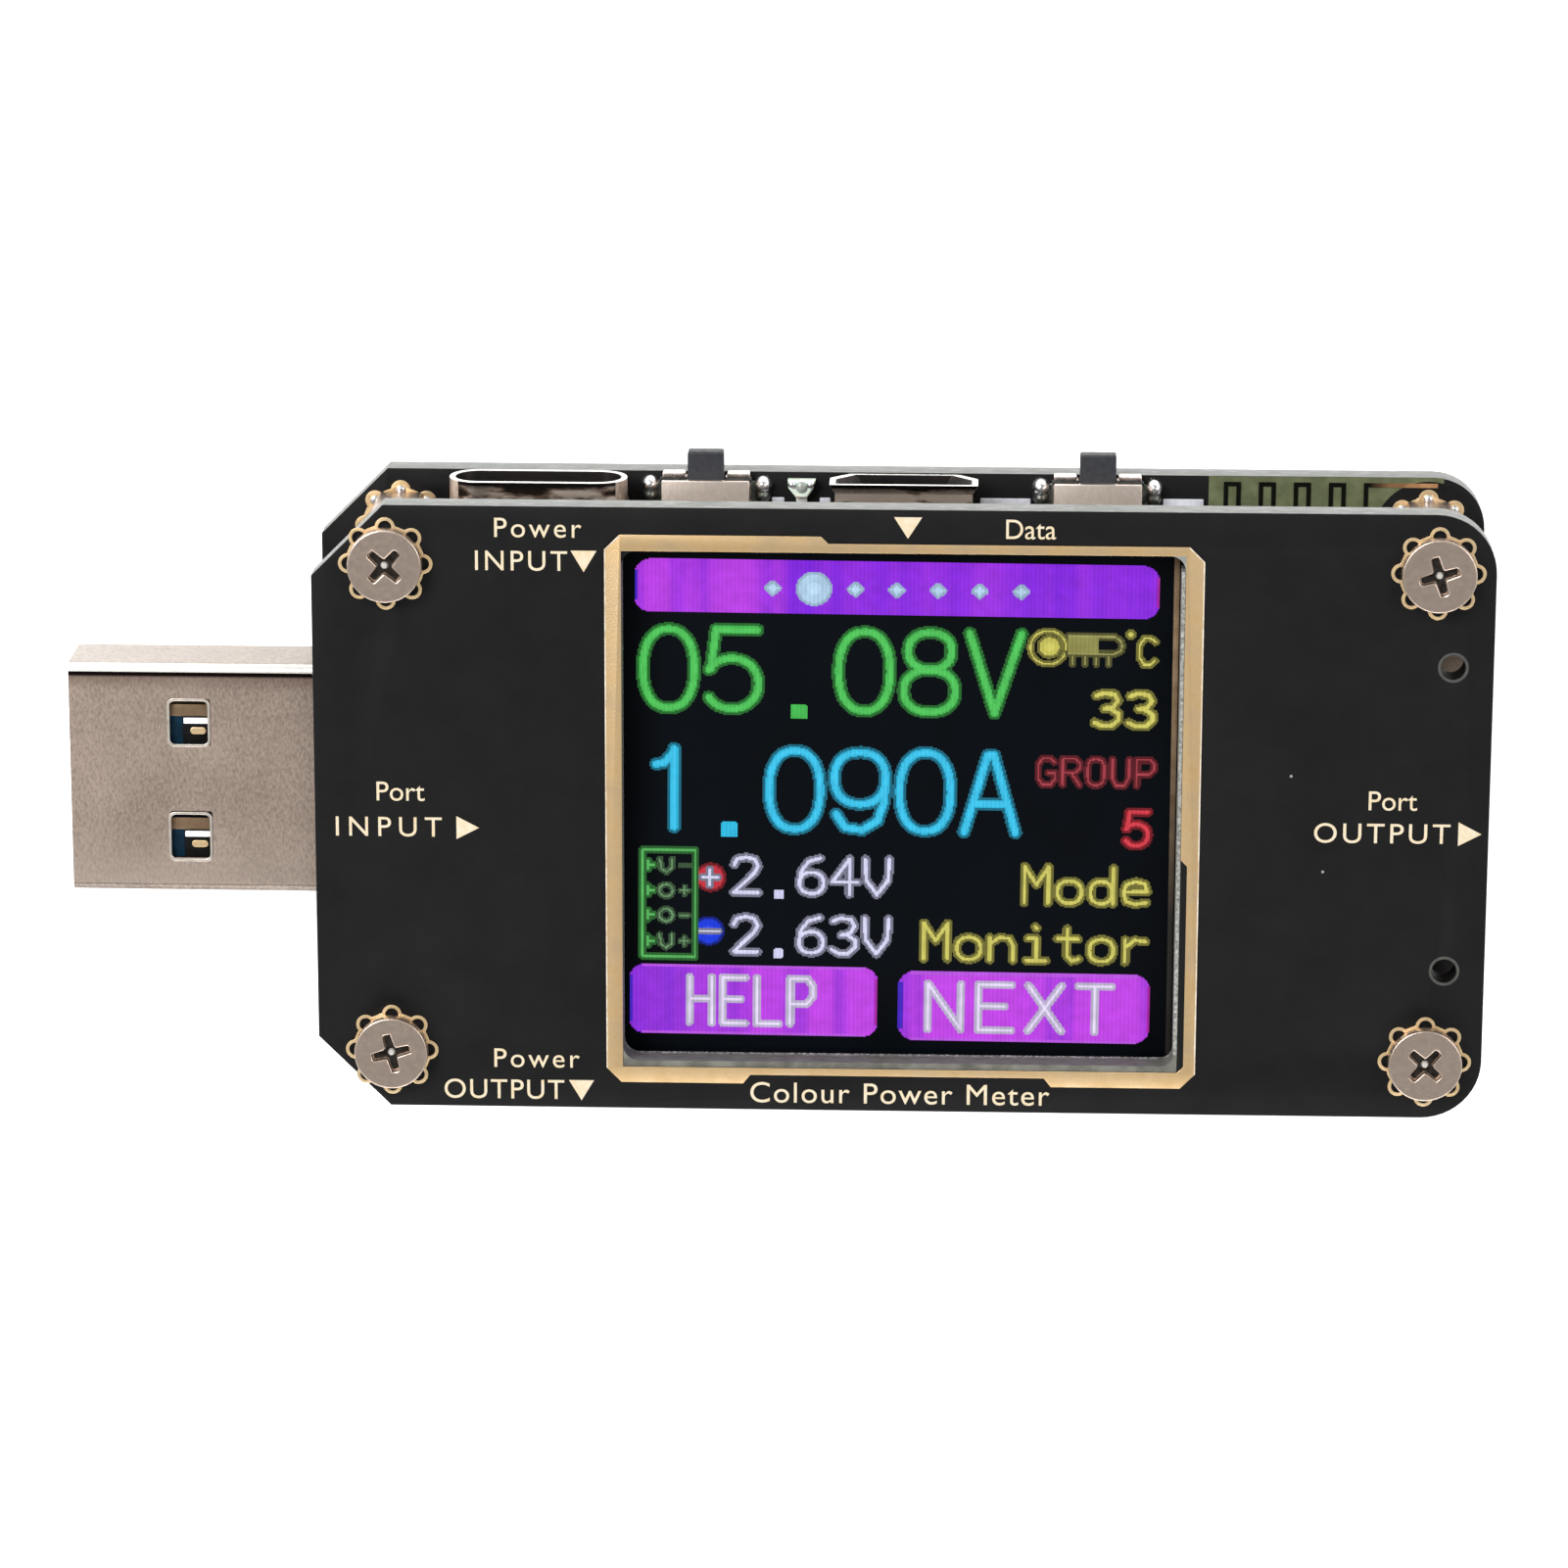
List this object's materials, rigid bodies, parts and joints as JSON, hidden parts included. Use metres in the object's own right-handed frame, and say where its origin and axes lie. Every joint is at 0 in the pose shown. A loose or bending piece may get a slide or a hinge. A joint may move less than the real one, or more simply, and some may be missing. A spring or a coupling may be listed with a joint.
{
  "type": "usb power meter",
  "caption": "Pass-through USB power meter: colour display framed in gold between two black circuit boards on standoffs, with plug, sockets and side buttons.",
  "frame": {"origin": "bottom centre of the whole box: on the plane of the rear screw heads, midway between the plug's tip and the far board edge, midway between the two long board edges", "axes": "+Z the way the display faces, +Y towards the long edge with the micro-USB socket, -X the way the USB-A plug points"},
  "size_m": [0.0712, 0.0336, 0.0118],
  "materials": {
    "board_black": "satin black solder mask over glass laminate",
    "gold_plating": "thin bright gold plating on copper",
    "printed_copper": "copper trace under dark solder mask",
    "nickel_hardware": "warm nickel plating, fine turned marks",
    "display_face": "smooth dark polariser film",
    "display_glass": "clear glass",
    "chip_plastic": "moulded black epoxy",
    "light_guide": "clear moulded sheet with white films",
    "tray_plastic": "white moulded frame",
    "flex_film": "amber polyimide film",
    "foam_tape": "black foam tape",
    "connector_shell": "warm nickel-plated pressed steel, satin",
    "blue_plastic": "moulded blue insulator",
    "black_plastic": "moulded black nylon",
    "resistor_ceramic": "black glaze on ceramic with tinned ends",
    "capacitor_ceramic": "tan ceramic with tinned ends",
    "lamp_lens": "milky clear resin",
    "solder": "bright solder",
    "switch_steel": "warm plated spring steel",
    "plunger_plastic": "dark grey moulded plastic"
  },
  "bodies": {
    "meter": {"front_panel": "board_black", "window_trim": "gold_plating", "front_pad_rings": "gold_plating", "main_board": "board_black", "main_pad_rings_front": "gold_plating", "main_pad_rings_rear": "gold_plating", "antenna_trace": "printed_copper", "standoffs": "nickel_hardware", "front_screws": "nickel_hardware", "rear_screws": "nickel_hardware", "display_polariser": "display_face", "display_front_glass": "display_glass", "display_rear_glass": "display_glass", "display_driver_chip": "chip_plastic", "display_light_guide": "light_guide", "display_tray": "tray_plastic", "display_flex": "flex_film", "display_tape": "foam_tape", "usb_a_plug_shell": "connector_shell", "usb_a_plug_insulator": "blue_plastic", "usb_a_plug_contacts": "gold_plating", "usb_a_socket_shell": "connector_shell", "usb_a_socket_insulator": "blue_plastic", "usb_a_socket_contacts": "gold_plating", "micro_usb_shell": "connector_shell", "micro_usb_insulator": "black_plastic", "micro_usb_contacts": "gold_plating", "type_c_in_shell": "connector_shell", "type_c_in_insulator": "black_plastic", "type_c_in_contacts": "gold_plating", "type_c_out_shell": "connector_shell", "type_c_out_insulator": "black_plastic", "type_c_out_contacts": "gold_plating", "microcontroller": "chip_plastic", "memory_chip": "chip_plastic", "radio_chip": "chip_plastic", "voltage_regulator": "chip_plastic", "crystal": "nickel_hardware", "shunt_resistors": "resistor_ceramic", "capacitors": "capacitor_ceramic", "resistors": "resistor_ceramic", "indicator_lamps": "lamp_lens", "edge_lamp": "lamp_lens", "solder_joints": "solder", "top_left_switch_base": "black_plastic", "top_left_switch_cover": "switch_steel", "top_left_switch_dome": "switch_steel", "top_right_switch_base": "black_plastic", "top_right_switch_cover": "switch_steel", "top_right_switch_dome": "switch_steel", "bottom_left_switch_base": "black_plastic", "bottom_left_switch_cover": "switch_steel", "bottom_left_switch_dome": "switch_steel", "bottom_right_switch_base": "black_plastic", "bottom_right_switch_cover": "switch_steel", "bottom_right_switch_dome": "switch_steel"},
    "top_left_button": {"top_left_switch_plunger": "plunger_plastic"},
    "top_right_button": {"top_right_switch_plunger": "plunger_plastic"},
    "bottom_left_button": {"bottom_left_switch_plunger": "plunger_plastic"},
    "bottom_right_button": {"bottom_right_switch_plunger": "plunger_plastic"}
  },
  "joints": [
    {"name": "top_left_press", "type": "slide", "parent": "meter", "child": "top_left_button", "axis": [0, -1, 0], "range_m": [0, 0.00025], "stiffness_N_per_m": 600},
    {"name": "top_right_press", "type": "slide", "parent": "meter", "child": "top_right_button", "axis": [0, -1, 0], "range_m": [0, 0.00025], "stiffness_N_per_m": 600},
    {"name": "bottom_left_press", "type": "slide", "parent": "meter", "child": "bottom_left_button", "axis": [0, 1, 0], "range_m": [0, 0.00025], "stiffness_N_per_m": 600},
    {"name": "bottom_right_press", "type": "slide", "parent": "meter", "child": "bottom_right_button", "axis": [0, 1, 0], "range_m": [0, 0.00025], "stiffness_N_per_m": 600}
  ]
}
